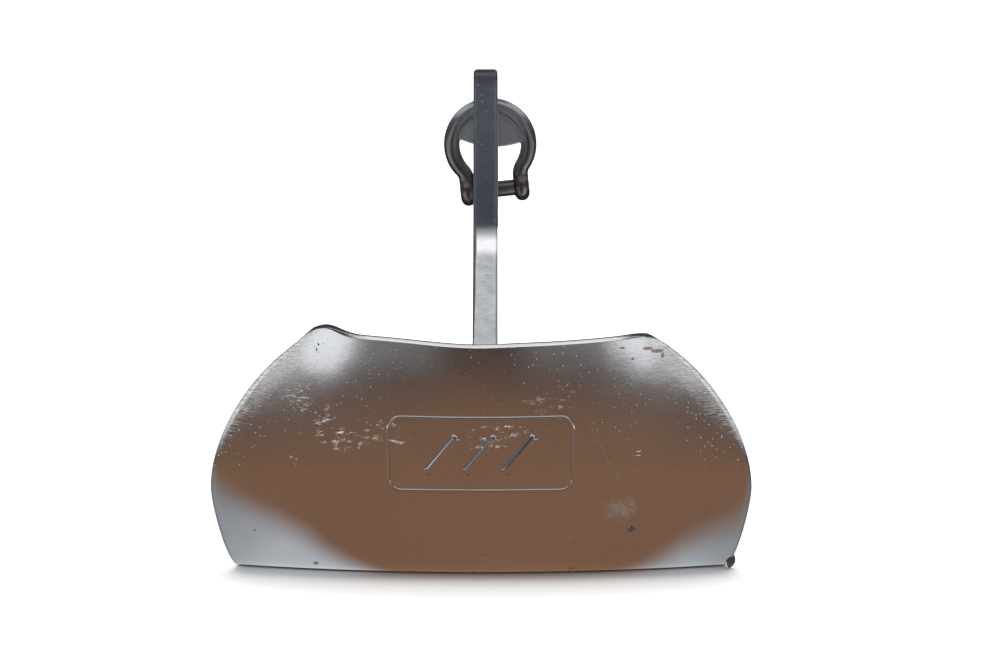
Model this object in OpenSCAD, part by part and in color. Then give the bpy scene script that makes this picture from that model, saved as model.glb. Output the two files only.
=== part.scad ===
// Scoop-pattern plate anchor, hot-dip galvanised, with a bow shackle at the arm.
// It stands on its belly and toe. The origin is on the floor, midway between
// the heel edge and the arm's end. +Y from the heel to the arm's end, +X to the
// right as seen from behind the heel, +Z up. Millimetres.

/* [Fluke plate] */
// Height of the heel edge at its centre above the floor
heel_height = 119.5; // [100:0.5:140]
// Thickness of the pressed fluke plate
plate = 6; // [4:0.5:8]
// Widest half width of the heel
half_width = 134.7; // [120:0.1:145]
// Height at which the heel is widest
wide_height = 44; // [35:1:60]
// Narrowing of each side from the widest height up to the heel edge
shoulder = 47.9; // [30:0.1:60]
// Narrowing of each side from the widest height down to the belly
tuck = 9.6; // [4:0.1:20]
// Radius of the heel's bend as seen from above
plan_radius = 350; // [250:5:600]
// Rise of the heel edge towards each corner
edge_rise = 4.6; // [0:0.1:10]
// Height of the bump near the left corner of the heel
ear_left = 3.6; // [0:0.1:6]
// Height of the bump near the right corner of the heel
ear_right = 0.4; // [0:0.1:6]
// Extra rise of the left half of the heel edge
rise_left = 2; // [0:0.1:4]
// Extra rise of the right half of the heel edge
rise_right = 0.5; // [0:0.1:4]
// Rounding of the heel's two upper corners
corner_r = 4; // [0.5:0.5:8]
// Distance of the toe from the heel edge
toe_y = 340; // [280:1:400]
// Rise of the sole at the toe above the floor
toe_rise = 12; // [6:0.5:20]
// Depth of the trough across the sole
trough = 9; // [0:0.5:15]

/* [Toe point] */
// Length of the toe point
point_length = 112; // [80:1:150]
// Width of the toe point at its back
point_width = 74; // [50:1:100]
// How far the point runs past the plate
point_nose = 14; // [6:1:25]

/* [Shank] */
// Thickness of the shank plate
shank_thick = 12.5; // [10:0.5:16]
// Distance of the shackle pin from the heel edge
pin_y = 385; // [350:1:420]
// Height of the shackle pin
pin_z = 176.6; // [150:0.1:190]
// Radius of the arm's end round the shackle hole
tip_radius = 24; // [18:0.5:30]
// Diameter of the shackle hole
eye_hole = 13; // [12:0.2:16]
// Height of the arm's crest
crest_z = 252.2; // [230:0.1:270]
// Offset of the shank to the right of the heel's middle
shank_shift = 1.6; // [-3:0.1:3]

/* [Welds] */
// Leg of the weld between shank and fluke
weld_leg = 6; // [3:0.5:9]

/* [Heel relief] */
// Width of the plain raised frame on the heel
relief_width = 92; // [60:1:120]
// Height of the plain raised frame
relief_height = 38; // [24:1:50]
// Height of the relief above the heel face
relief_lift = 0.8; // [0.4:0.1:1.5]

/* [Shackle] */
// Diameter of the bow bar
bar_d = 9.8; // [8:0.1:12]
// Diameter of the shackle pin
pin_d = 9.8; // [8:0.1:11]
// Radius of the bow's centre line
bow_radius = 23.7; // [20:0.1:30]
// Height of the bow's centre above the pin
bow_height = 28.2; // [26:0.1:38]
// Clear width between the two eyes
jaw = 23; // [18:0.2:28]
// Thickness of each eye along the pin
eye_thick = 10.2; // [7:0.2:12]
// Outer diameter of each eye
eye_d = 16.4; // [13:0.2:20]
// Thickness of the forged web in the crown of the bow
web_thick = 5; // [4:0.5:9]
// Distance of the web's lower edge from the pin
web_reach = 26.4; // [26:0.1:34]
// Offset of the web's lowest point to the right of the bow's middle
web_side = 7; // [0:0.5:10]
// Lean of the resting shackle back from upright, degrees
lean = 5; // [0:0.5:20]
// Sideways tilt of the loose pin in its hole, degrees
roll = 5.8; // [0:0.1:7]
// How far the resting shackle has slid to the right along its pin line
slide = 4.2; // [0:0.1:5]

/* [Hidden] */
zinc = [0.70, 0.71, 0.72];
bead = [0.62, 0.63, 0.64];
dark = [0.38, 0.36, 0.34];
$fn = 64;
// the sub-parts are drawn with y = 0 at the heel edge, then moved by mid_y
mid_y = (pin_y + tip_radius - relief_lift) / 2;
module place(s = 0) translate([s, -mid_y, 0]) children();

// ---- fluke plate: outer face as a function of u (across) and v (along) ----
bend_h = 20;                       // height at which the belly bend starts
lean_top = 0.07;                   // slope of the heel face at its edge
lean_low = 0.0062;                 // extra slope low down
function heel_y(h) = lean_top * (heel_height - h)
    + lean_low * pow(max(0, 60 - h), 2);
bend_phi = atan(lean_top + 2 * lean_low * (60 - bend_h));
bend_r = bend_h / (1 - sin(bend_phi));
belly_y = heel_y(bend_h) + bend_r * cos(bend_phi);
bend_y = heel_y(bend_h);

function smooth(t) = let (s = min(1, max(0, t))) s * s * (3 - 2 * s);
function corner(s) = s > corner_r ? 0 : corner_r - sqrt(s * (2 * corner_r - s));
function side(h) = h > wide_height
    ? half_width - corner(heel_height - h)
      - shoulder * pow((h - wide_height) / (heel_height - wide_height), 1.9)
    : half_width - tuck * pow((wide_height - h) / wide_height, 1.4);
toe_half = 6;
function sole_half(t) = toe_half + (side(0) - toe_half) * (1 - pow(t, 1.55));
function ear(x) = x < 0
    ? rise_left * smooth(-x / 50) + ear_left * exp(-pow((x + 75.5) / 8, 2))
      - 3.3 * smooth((-x - 80) / 11)
    : rise_right * smooth(x / 22) + ear_right * exp(-pow((x - 77) / 6, 2))
      - 2.2 * smooth((x - 79) / 11);

// centre line height of the sole at t from belly (0) to toe (1)
function sole_z(t) = toe_rise * smooth((t - 0.12) / 0.55);

function heel_pt(u, v) =
    let (h = heel_height - (heel_height - bend_h) * v,
         x = u * side(h),
         k = pow((h - bend_h) / (heel_height - bend_h), 2),
         top = exp(-pow((heel_height - h) / 12, 2)))
    [x, heel_y(h) + x * x / (2 * plan_radius),
     h + k * edge_rise * pow(x / 85, 2) + top * ear(x)];
function bend_pt(u, v) =
    let (phi = bend_phi + (90 - bend_phi) * v,
         h = bend_r * (1 - sin(phi)),
         x = u * side(h))
    [x, bend_y + bend_r * (cos(bend_phi) - cos(phi)) + x * x / (2 * plan_radius), h];
function sole_pt(u, t) =
    let (x = u * sole_half(t), s = x * x / (2 * plan_radius))
    [x, belly_y + s * (1 - t) + (toe_y - belly_y) * t,
     sole_z(t) + trough * u * u * sin(180 * t)];
function face_pt(u, v) = v <= 1 ? heel_pt(u, v)
    : v <= 2 ? bend_pt(u, v - 1) : sole_pt(u, min(1, v - 2));

function unit(a) = a / norm(a);
function inward(u, v) =
    let (e = 0.01,
         du = face_pt(u + e, v) - face_pt(u - e, v),
         dv = face_pt(u, min(3, v + e)) - face_pt(u, max(0, v - e)))
    unit(cross(du, dv));
function skin(u, v, d) = face_pt(u, v) + inward(u, v) * d;

function rows(a, b, n) = [for (i = [0:n - 1]) a + (b - a) * i / n];
ROWS = concat([0, 0.008, 0.028], rows(0.07, 1, 12), rows(1, 2, 7), rows(2, 3, 14), [3]);
COLS = [for (i = [0:32]) -1 + i / 16];

module shell(vs, us, near, far) {
    nu = len(us); nv = len(vs); m = nu * nv;
    a = [for (v = vs) for (u = us) skin(u, v, near)];
    b = [for (v = vs) for (u = us) skin(u, v, far)];
    function q(i, j) = i * nu + j;
    grid = [for (i = [0:nv - 2]) for (j = [0:nu - 2]) each [
        [q(i, j), q(i + 1, j), q(i + 1, j + 1)],
        [q(i, j), q(i + 1, j + 1), q(i, j + 1)],
        [m + q(i, j), m + q(i + 1, j + 1), m + q(i + 1, j)],
        [m + q(i, j), m + q(i, j + 1), m + q(i + 1, j + 1)]]];
    ends = [for (j = [0:nu - 2]) each [
        [q(0, j), q(0, j + 1), m + q(0, j + 1)],
        [q(0, j), m + q(0, j + 1), m + q(0, j)],
        [q(nv - 1, j), m + q(nv - 1, j + 1), q(nv - 1, j + 1)],
        [q(nv - 1, j), m + q(nv - 1, j), m + q(nv - 1, j + 1)]]];
    sides = [for (i = [0:nv - 2]) each [
        [q(i, 0), m + q(i, 0), m + q(i + 1, 0)],
        [q(i, 0), m + q(i + 1, 0), q(i + 1, 0)],
        [q(i, nu - 1), m + q(i + 1, nu - 1), m + q(i, nu - 1)],
        [q(i, nu - 1), q(i + 1, nu - 1), m + q(i + 1, nu - 1)]]];
    polyhedron(points = concat(a, b), faces = concat(grid, ends, sides),
               convexity = 8);
}

module fluke_plate() color(zinc) place() shell(ROWS, COLS, plate, 0);

// ---- plain raised frame with three bars on the heel face ----
module relief_shape() {
    w = relief_width; h = relief_height; r = 7; t = 1.8;
    difference() {
        square_round(w, h, r);
        square_round(w - 2 * t, h - 2 * t, r - t);
    }
    for (s = [-1, 0, 1]) translate([s * 19, 0])
        polygon([[-10.5, -9], [-4.5, -9], [10.5, 9], [4.5, 9]]);
}
module square_round(w, h, r) {
    polygon([for (c = [[1, 1, 0], [-1, 1, 90], [-1, -1, 180], [1, -1, 270]])
        for (k = [0:6]) [c[0] * (w / 2 - r) + r * cos(c[2] + 15 * k),
                         c[1] * (h / 2 - r) + r * sin(c[2] + 15 * k)]]);
}
module heel_relief() color(zinc) place() intersection() {
    translate([0, 30, 66]) rotate([90, 0, 0])
        linear_extrude(60) relief_shape();
    shell([for (i = [0:10]) 0.22 + i * 0.066],
          [for (i = [0:16]) -0.5 + i / 16], 0.6, -relief_lift);
}

// ---- toe point: a thick wedge under the front of the sole ----
point_back = toe_y + point_nose - point_length;
function sole_t(y) = (y - belly_y) / (toe_y - belly_y);
module toe_point() color(zinc) place() {
    y0 = point_back; y1 = toe_y + point_nose;
    zb = sole_z(sole_t(y0)) + 0.6; zt = toe_rise + 0.6; zn = 7;
    w = point_width / 2; ym = toe_y - 8;
    polyhedron(points = [
        [-w + 5, y0 + 5, 0], [w - 5, y0 + 5, 0], [w, y0, zb], [-w, y0, zb],
        [-w * 0.62 + 4, y0 + 55, 0], [w * 0.62 - 4, y0 + 55, 0],
        [w * 0.62, y0 + 55, zt], [-w * 0.62, y0 + 55, zt],
        [-5, ym, 0], [5, ym, 0], [8, ym, zt], [-8, ym, zt],
        [-1.5, y1, zn - 2], [1.5, y1, zn - 2], [1.5, y1, zn], [-1.5, y1, zn]],
        faces = [[0, 3, 2, 1],
            [0, 1, 5, 4], [1, 2, 6, 5], [2, 3, 7, 6], [3, 0, 4, 7],
            [4, 5, 9, 8], [5, 6, 10, 9], [6, 7, 11, 10], [7, 4, 8, 11],
            [8, 9, 13, 12], [9, 10, 14, 13], [10, 11, 15, 14], [11, 8, 12, 15],
            [12, 13, 14, 15]]);
}
// weld bead along the back of the toe point
module toe_weld() color(bead) place() {
    y0 = point_back; zb = sole_z(sole_t(y0));
    translate([-point_width / 2 + 3, y0 - 0.5, zb - 1.2]) rotate([0, 90, 0])
        cylinder(r = 3, h = point_width - 6, $fn = 20);
}

// ---- shank: one flat plate, side outline in (y, z) ----
function bez(a, b, c, d, n) = [for (i = [0:n - 1]) let (t = i / n, s = 1 - t)
    s * s * s * a + 3 * s * s * t * b + 3 * s * t * t * c + t * t * t * d];
fall = 15.5;                       // fall of the arm at its end, degrees
arm_top = [pin_y + tip_radius * sin(fall), pin_z + tip_radius * cos(fall)];
arm_low = [pin_y - tip_radius * sin(fall), pin_z - tip_radius * cos(fall)];
base_front = 212;
function base_z(y) = sole_z(max(0, sole_t(y))) + plate - 0.7;
SHANK = concat(
    // back of the foot, up to the bend
    [[22.5, 46]], bez([22.5, 46], [52, 86], [84.5, 138], [103.6, 169.3], 8),
    // steep back edge and the shoulder of the arm
    bez([103.6, 169.3], [107.5, 181], [113, 206], [119, 225], 8), [[119, 225]],
    bez([125.6, crest_z - 4.6], [126.8, crest_z - 0.4], [128.4, crest_z],
        [133, crest_z], 6),
    bez([133, crest_z], [158, crest_z], [205, crest_z + 0.9],
        [232, crest_z - 8], 12),
    bez([232, crest_z - 8], [262, crest_z - 18],
        arm_top + 50 * [-cos(fall), sin(fall)], arm_top, 12),
    // round end
    [for (k = [0:23]) let (q = 90 - fall - k * 7.5)
        [pin_y + tip_radius * cos(q), pin_z + tip_radius * sin(q)]],
    // underside of the arm down to the front of the foot
    bez(arm_low, arm_low + 60 * [-cos(fall), sin(fall)], [252, 204],
        [216, 172], 12),
    bez([216, 172], [182, 138], [178, 78], [base_front, 28], 12),
    [[base_front, 28]],
    // along the sole, inside the bend and up the heel
    [for (k = [0:14]) let (y = base_front - (base_front - 58) * k / 14)
        [y, base_z(y)]],
    [for (k = [1:6]) let (phi = 90 - k * (90 - bend_phi) / 6)
        [bend_y + bend_r * cos(bend_phi) - (bend_r - plate + 0.7) * cos(phi) ,
         bend_r - (bend_r - plate + 0.7) * sin(phi)]]);
module shank() color(zinc) place(shank_shift) difference() {
    rotate([90, 0, 90]) translate([0, 0, -shank_thick / 2])
        linear_extrude(shank_thick) polygon(SHANK);
    translate([-20, pin_y, pin_z]) rotate([0, 90, 0])
        cylinder(d = eye_hole, h = 40);
}

// ---- weld beads: a fillet each side of the shank along the sole ----
module bead_side(s) place(shank_shift) {
    n = 16;
    ys = [for (i = [0:n]) 48 + (base_front - 4 - 48) * i / n];
    sec = [[-1, -0.5], [1.0, -0.5], [0.72, 0.30], [0.30, 0.72], [-1, 1.0]];
    m = len(sec);
    pts = [for (y = ys) for (c = sec)
        let (e = 1 - 0.5 * (y <= 49 || y >= base_front - 5 ? 1 : 0),
             xx = shank_thick / 2 + (c[0] < 0 ? -0.6 : c[0] * weld_leg * e),
             zz = base_z(y) + 0.4 + (c[1] < 0 ? -0.8 : c[1] * weld_leg * e))
        [s * xx, y, zz]];
    quads = [for (i = [0:n - 1]) for (j = [0:m - 1])
        [i * m + j, i * m + (j + 1) % m, (i + 1) * m + (j + 1) % m,
         (i + 1) * m + j]];
    caps = [[for (j = [0:m - 1]) m - 1 - j], [for (j = [0:m - 1]) n * m + j]];
    all = concat(quads, caps);
    polyhedron(points = pts, faces = s < 0 ? all
        : [for (q = all) [for (k = [len(q) - 1:-1:0]) q[k]]], convexity = 4);
}
module shank_weld_left() color(bead) bead_side(-1);
module shank_weld_right() color(bead) bead_side(1);

// ---- shackle, drawn about its pin with the bow up, then laid in place ----
module at_pin() place(shank_shift) translate([0, pin_y, pin_z]) rotate([0, -roll, 0])
    rotate([lean, 0, 0]) translate([slide, 0, 0]) children();
eye_x = jaw / 2 + eye_thick / 2;
neck_r = 9;
neck_a = acos((eye_x + neck_r) / (bow_radius + neck_r));
neck_x = (bow_radius + neck_r) * cos(neck_a);
neck_z = bow_height - (bow_radius + neck_r) * sin(neck_a);
module arc_bar(r, a, from, d) rotate([90, 0, 0]) rotate([0, 0, from])
    rotate_extrude(angle = a, $fn = 96) translate([r, 0]) circle(d = d, $fn = 36);
module eye_solid() {
    r = eye_d / 2; t = eye_thick / 2; c = 5;
    rotate([0, 90, 0]) rotate_extrude($fn = 64) polygon(concat(
        [[0, -t], [r - c, -t]],
        [for (k = [0:4]) [r - c + c * sin(k * 22.5), -t + c - c * cos(k * 22.5)]],
        [for (k = [0:4]) [r - c + c * cos(k * 22.5), t - c + c * sin(k * 22.5)]],
        [[0, t]]));
}
module shackle_bow() color(dark) at_pin() difference() {
    union() {
        translate([0, 0, bow_height])
            arc_bar(bow_radius, 180 + 2 * neck_a, -neck_a, bar_d);
        for (s = [0, 1]) mirror([s, 0, 0]) {
            translate([neck_x, 0, neck_z])
                arc_bar(neck_r, neck_a + 10, 175 - neck_a, bar_d - 0.8);
            translate([eye_x, 0, 0])
                cylinder(d = bar_d - 0.3, h = neck_z + 0.2, $fn = 36);
            translate([eye_x, 0, 0]) eye_solid();
        }
        // forged web in the crown
        rotate([90, 0, 0]) translate([0, 0, -web_thick / 2])
            linear_extrude(web_thick) intersection() {
                translate([0, bow_height]) circle(r = bow_radius, $fn = 96);
                translate([web_side, web_reach + 48]) circle(r = 48, $fn = 128);
            }
    }
    translate([-30, 0, 0]) rotate([0, 90, 0]) cylinder(d = pin_d + 0.6, h = 60);
}
module shackle_pin() color(dark) at_pin() {
    l = jaw + 2 * eye_thick - 0.8;
    difference() {
        union() {
            translate([-l / 2 + 1, 0, 0]) rotate([0, 90, 0])
                cylinder(d = pin_d, h = l - 2);
            translate([-l / 2, 0, 0]) rotate([0, 90, 0])
                cylinder(d1 = pin_d - 2, d2 = pin_d, h = 1);
            translate([l / 2 - 1, 0, 0]) rotate([0, 90, 0])
                cylinder(d2 = pin_d - 2, d1 = pin_d, h = 1);
        }
        translate([l / 2 - 4, 0, 0]) rotate([0, 90, 0])
            cylinder(d = 5.8, h = 6, $fn = 6);
    }
}

fluke_plate();
heel_relief();
toe_point();
toe_weld();
shank();
shank_weld_left();
shank_weld_right();
shackle_bow();
shackle_pin();
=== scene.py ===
import math

import bmesh
import bpy
import numpy as np
from mathutils import Matrix, Vector

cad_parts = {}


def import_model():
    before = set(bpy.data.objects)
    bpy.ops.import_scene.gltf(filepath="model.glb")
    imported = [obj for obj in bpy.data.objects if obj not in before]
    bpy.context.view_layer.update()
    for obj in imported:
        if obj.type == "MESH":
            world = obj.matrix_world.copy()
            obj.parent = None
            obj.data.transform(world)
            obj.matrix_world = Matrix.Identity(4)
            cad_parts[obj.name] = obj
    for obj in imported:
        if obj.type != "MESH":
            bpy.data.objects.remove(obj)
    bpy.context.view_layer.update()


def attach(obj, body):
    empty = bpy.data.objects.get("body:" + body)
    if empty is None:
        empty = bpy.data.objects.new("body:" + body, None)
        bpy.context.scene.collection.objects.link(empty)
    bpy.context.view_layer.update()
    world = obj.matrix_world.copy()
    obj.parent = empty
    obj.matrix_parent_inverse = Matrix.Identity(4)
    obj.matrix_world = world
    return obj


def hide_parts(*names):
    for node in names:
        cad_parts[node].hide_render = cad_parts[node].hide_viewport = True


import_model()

# ------------------------------------------------------------------ sizes, mm
# The same numbers as the CAD source, so the detailed pieces lie on their nodes.
# x is lateral, y runs forward from the heel's edge, z is up from the floor.
HEEL_H, PLATE, HALF_W, WIDE_H = 119.5, 6.0, 134.7, 44.0
SHOULDER, TUCK, PLAN_R, EDGE_RISE = 47.9, 9.6, 350.0, 4.6
EAR_L, EAR_R, RISE_L, RISE_R, CORNER = 3.6, 0.4, 2.0, 0.5, 4.0
TOE_Y, TOE_RISE, TROUGH, SHIFT = 340.0, 12.0, 9.0, 1.6
SHANK_T, PIN_Y, PIN_Z, TIP_R, HOLE, CREST = 12.5, 385.0, 176.6, 24.0, 13.0, 252.2
BAR_D, PIN_D, BOW_R, BOW_H, JAW = 9.8, 9.8, 23.7, 28.2, 23.0
EYE_T, EYE_D, WEB_T, WEB_REACH, WEB_SIDE = 10.2, 16.4, 5.0, 26.4, 7.0
LEAN, ROLL, SLIDE = 5.0, 5.8, 4.2
MID_Y = (PIN_Y + TIP_R - 0.8) / 2     # the shared frame's origin, half way along
MM = 0.001


def world_y(y):
    return (y - MID_Y) * MM


def world(p):
    return Vector((p[0] * MM, world_y(p[1]), p[2] * MM))


# ------------------------------------------------------------- mesh utilities
def add_object(name, me):
    ob = bpy.data.objects.new(name, me)
    bpy.context.scene.collection.objects.link(ob)
    return ob


def new_object(name, verts, faces, smooth=True):
    me = bpy.data.meshes.new(name)
    me.from_pydata([tuple(v) for v in verts], [], faces)
    me.validate()
    if smooth:
        shade_smooth(me)
    return add_object(name, me)


def from_bmesh(name, bm):
    """A smooth-shaded object of the bmesh, which is freed."""
    me = bpy.data.meshes.new(name)
    bm.to_mesh(me)
    bm.free()
    shade_smooth(me)
    return add_object(name, me)


def shade_smooth(me):
    for p in me.polygons:
        p.use_smooth = True


def sharp_from(ob, degrees):
    ob.data.set_sharp_from_angle(angle=math.radians(degrees))


def face_outwards(ob):
    bm = bmesh.new()
    bm.from_mesh(ob.data)
    bmesh.ops.recalc_face_normals(bm, faces=list(bm.faces))
    bm.to_mesh(ob.data)
    bm.free()


def ring_faces(count, seg, ends=True):
    """Quads round a stack of count rings of seg points, and its two ends."""
    faces = []
    for i in range(count - 1):
        for k in range(seg):
            a, b = i * seg + k, i * seg + (k + 1) % seg
            faces.append((a, b, b + seg, a + seg))
    if ends:
        faces.append(tuple(range(seg))[::-1])
        faces.append(tuple((count - 1) * seg + k for k in range(seg)))
    return faces


def apply_all(ob):
    """The object's modifiers applied to its mesh."""
    dg = bpy.context.evaluated_depsgraph_get()
    me = bpy.data.meshes.new_from_object(ob.evaluated_get(dg))
    ob.modifiers.clear()
    ob.data = me


def add_bevel(ob, width, segs, angle):
    m = ob.modifiers.new("bevel", "BEVEL")
    m.width, m.segments, m.limit_method = width * MM, segs, "ANGLE"
    m.angle_limit = math.radians(angle)
    m.harden_normals = False
    m.use_clamp_overlap = True


def rim_attribute(ob, values):
    """Three numbers a point for the heel's zinc: how far along the rim, how far
    in from it, and 0 on the outer face to 1 on the inner one."""
    rim = ob.data.attributes.new("rim", "FLOAT_VECTOR", "POINT")
    rim.data.foreach_set("vector", values)


# ------------------------------------------------------------------ materials
class Nodes:
    """A metal material and short names for the nodes that paint it."""

    def __init__(self, name):
        self.mat = bpy.data.materials.new(name)
        self.mat.use_nodes = True
        self.t = self.mat.node_tree
        self.t.nodes.clear()
        out = self.t.nodes.new("ShaderNodeOutputMaterial")
        self.bsdf = self.t.nodes.new("ShaderNodeBsdfPrincipled")
        self.bsdf.inputs["Metallic"].default_value = 1.0
        self.link(self.bsdf.outputs[0], out.inputs[0])
        self.coord = self.t.nodes.new("ShaderNodeTexCoord").outputs["Object"]

    def link(self, a, b):
        self.t.links.new(a, b)

    def put(self, value, socket):
        """A number on the socket, or a link to it."""
        if isinstance(value, (int, float)):
            socket.default_value = value
        else:
            self.link(value, socket)

    def finish(self, col, rough, normal):
        for name, value in (("Base Color", col), ("Roughness", rough), ("Normal", normal)):
            self.link(value, self.bsdf.inputs[name])
        return self.mat

    def mapping(self, scale, rot=(0, 0, 0), loc=(0, 0, 0)):
        m = self.t.nodes.new("ShaderNodeMapping")
        m.inputs["Scale"].default_value = scale
        m.inputs["Rotation"].default_value = rot
        m.inputs["Location"].default_value = loc
        self.link(self.coord, m.inputs["Vector"])
        return m.outputs[0]

    def noise(self, scale, detail, rough=0.55, vec=None):
        n = self.t.nodes.new("ShaderNodeTexNoise")
        n.inputs["Scale"].default_value = scale
        n.inputs["Detail"].default_value = detail
        n.inputs["Roughness"].default_value = rough
        self.link(vec or self.coord, n.inputs["Vector"])
        return n.outputs["Fac"]

    def specks(self, scale, size, pick):
        """Dots in the middles of cells, by a ramp of their size and one of their pick."""
        n = self.t.nodes.new("ShaderNodeTexVoronoi")
        n.inputs["Scale"].default_value = scale
        self.link(self.coord, n.inputs["Vector"])
        return self.mul(self.ramp(n.outputs["Distance"], size),
                        self.ramp(self.xyz(n.outputs["Color"])[0], pick))

    def ramp(self, fac, stops):
        r = self.t.nodes.new("ShaderNodeValToRGB")
        el = r.color_ramp.elements
        while len(el) < len(stops):
            el.new(0.5)
        for e, (p, c) in zip(el, stops):
            e.position = p
            e.color = (c, c, c, 1) if isinstance(c, (int, float)) else (*c, 1)
        self.link(fac, r.inputs[0])
        return r.outputs[0]

    def math(self, op, *values):
        m = self.t.nodes.new("ShaderNodeMath")
        m.operation = op
        for v, socket in zip(values, m.inputs):
            self.put(v, socket)
        return m.outputs[0]

    def chain(self, op, parts):
        out = parts[0]
        for q in parts[1:]:
            out = self.math(op, out, q)
        return out

    def mul(self, *parts):
        return self.chain("MULTIPLY", parts)

    def add(self, *parts):
        return self.chain("ADD", parts)

    def most(self, *parts):
        return self.chain("MAXIMUM", parts)

    def sub(self, a, b):
        return self.math("SUBTRACT", a, b)

    def rest(self, a):
        return self.math("SUBTRACT", 1.0, a)

    def mix(self, fac, a, b):
        m = self.t.nodes.new("ShaderNodeMix")
        m.data_type = "RGBA"
        for i, v in ((0, fac), (6, a), (7, b)):
            if isinstance(v, tuple):
                m.inputs[i].default_value = (*v, 1)
            else:
                self.link(v, m.inputs[i])
        return m.outputs[2]

    def xyz(self, vec=None):
        s = self.t.nodes.new("ShaderNodeSeparateXYZ")
        self.link(vec or self.coord, s.inputs[0])
        return s.outputs

    def vector(self, *values):
        c = self.t.nodes.new("ShaderNodeCombineXYZ")
        for v, socket in zip(values, c.inputs):
            self.put(v, socket)
        return c.outputs[0]

    def attribute(self, name):
        a = self.t.nodes.new("ShaderNodeAttribute")
        a.attribute_type = "GEOMETRY"
        a.attribute_name = name
        return self.xyz(a.outputs["Vector"])

    def bump(self, height, strength, distance, normal=None):
        b = self.t.nodes.new("ShaderNodeBump")
        b.inputs["Strength"].default_value = strength
        b.inputs["Distance"].default_value = distance
        self.link(height, b.inputs["Height"])
        if normal is not None:
            self.link(normal, b.inputs["Normal"])
        return b.outputs[0]

    def blot(self, x, z, rx, rz, ragged=0.45, scale=None, soft=0.35):
        """1 inside a ragged ellipse about (x, z) mm in the XZ plane."""
        m = self.t.nodes.new("ShaderNodeVectorMath")
        m.operation = "LENGTH"
        at = self.mapping((1000.0 / rx, 0.0, 1000.0 / rz), (0, 0, 0), (-x / rx, 0, -z / rz))
        self.link(at, m.inputs[0])
        rough = self.sub(self.noise(scale or 1500.0 / min(rx, rz), 3), 0.5)
        d = self.add(m.outputs["Value"], self.mul(rough, 2.6 * ragged))
        return self.ramp(d, [(1.0 - soft, 1.0), (1.0, 0.0)])

    def blots(self, rows):
        return self.most(*[self.blot(*row) for row in rows])

    def line(self, a, b, half, wobble=0.0):
        """1 along a thin line between two (x, z) points, mm, half wide either side."""
        (x0, z0), (x1, z1) = a, b
        n = math.hypot(x1 - x0, z1 - z0)
        tx, tz = (x1 - x0) / n, (z1 - z0) / n
        xyz = self.xyz()
        dx, dz = self.sub(xyz[0], x0 * MM), self.sub(xyz[2], z0 * MM)
        along = self.add(self.mul(dx, tx), self.mul(dz, tz))
        off = self.sub(self.mul(dx, tz), self.mul(dz, tx))
        if wobble:
            off = self.add(off, self.mul(self.sub(self.noise(60, 2), 0.5), wobble * MM))
        on = self.ramp(self.math("DIVIDE", self.math("ABSOLUTE", off), 2 * half * MM),
                       [(0.3, 1.0), (1.0, 0.0)])
        inside = self.mul(self.math("GREATER_THAN", along, 0.0), self.math("LESS_THAN", along, n * MM))
        return self.mul(on, inside)


# The heel's marks: (x, z, half width, half height, raggedness) mm.
# The smudge also has the scale and softness of its edge, the hairline its two
# ends, half width and wobble.
RUBS = [(-76, 80, 6, 11), (-64, 73, 12, 7), (-46.5, 80, 6, 5), (-43, 74, 9, 4),
        (9, 77, 17, 5), (2, 71, 12, 3), (-91, 62, 3, 4)]
FAINT_RUBS = [(-90, 92, 9, 8), (34, 92, 14, 8, 0.6)]
NICKS = [((76.3, 66.4), (78.6, 66.7)), ((76.2, 64.5), (78.3, 64.6))]
SMUDGE = (69, 36, 10, 7, 0.7, 130, 0.9)
PITS = [(74.5, 26.5, 2.2, 2.2, 0.9), (-83, 6.0, 1.6, 1.4, 0.6), (-79, 119.5, 0.5, 0.6, 1.0),
        (-80, 117, 0.4, 0.7, 1.0), (74, 112.5, 0.6, 0.6, 0.8), (69, 118, 1.3, 0.4, 0.8),
        (45, 4, 1.8, 0.7, 0.9), (-113, 24, 0.6, 0.6), (97, 34, 0.5, 0.5)]
FAINT_PITS = [(2, 14, 1.2, 2.6, 0.9), (43, 22.5, 3.0, 1.0, 1.0)]
HAIRLINE = ((53, 79), (68.5, 51.5), 0.13, 3.0)
RUST = [(81.5, 117.5, 2.6, 0.8, 0.6), (86.2, 116.2, 3.2, 0.9, 0.6), (88.8, 114.0, 0.9, 1.4, 0.6)]
STROKED, RUBBED, SPECK = (0.86, 0.87, 0.88), (0.88, 0.89, 0.90), (0.84, 0.85, 0.87)
SMUDGED, PITTED, RUSTED = (0.44, 0.43, 0.43), (0.035, 0.033, 0.033), (0.16, 0.075, 0.045)
# the painted highlight of the top cut edge, and the painted shade of the rest of the cut edge and the side
# rims
CUT_EDGE_PAINTED_HIGHLIGHT, RIM_PAINTED_SHADE = (0.80, 0.81, 0.825), (0.17, 0.18, 0.20)
HALF_M = 0.5      # added to x in metres, since a ramp has no negative stops


def heel_drift(n, drift):
    """More specks along the top edge right of the middle, and down both rims."""
    xyz = n.xyz()
    top = n.ramp(xyz[2], [(0.090, 0.0), (0.112, 1.0)])
    right = n.ramp(n.add(xyz[0], HALF_M), [(0.44, 0.15), (0.53, 1.0)])
    wide = n.ramp(n.math("ABSOLUTE", xyz[0]), [(0.092, 0.0), (0.125, 0.9)])
    high = n.ramp(xyz[2], [(0.045, 0.0), (0.07, 1.0)])
    return n.most(n.mul(drift, high, 0.6), n.mul(top, right), n.mul(wide, high))


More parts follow.
